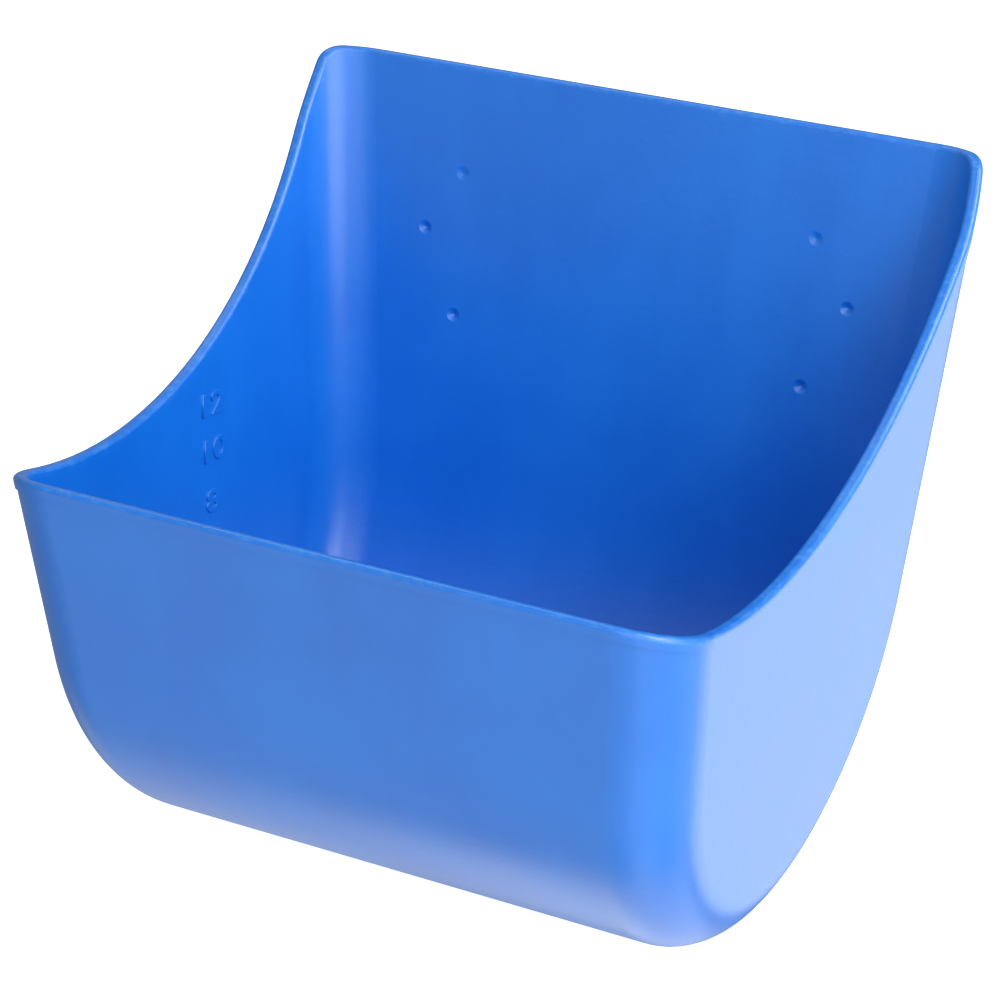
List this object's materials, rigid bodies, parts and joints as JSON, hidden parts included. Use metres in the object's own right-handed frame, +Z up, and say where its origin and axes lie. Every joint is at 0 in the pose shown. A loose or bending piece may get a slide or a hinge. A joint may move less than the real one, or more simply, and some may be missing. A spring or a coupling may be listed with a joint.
{
  "type": "wall feed bucket",
  "caption": "Moulded plastic feed bucket that hangs on a stable wall: tall flat back, round bottom, low leaning front and side rims cut in a sweeping arc.",
  "frame": {"origin": "on the wall face of the back, on the centre line, level with the middle pair of drilling marks", "axes": "+Z up, +Y out of the back into the wall, front towards -Y, +X to the right seen from the front"},
  "size_m": [0.3416, 0.2886, 0.336],
  "materials": {
    "blue_plastic": "semi-gloss moulded polyethylene with a fine even grain"
  },
  "bodies": {
    "root": {"trough_body": "blue_plastic"}
  },
  "joints": []
}
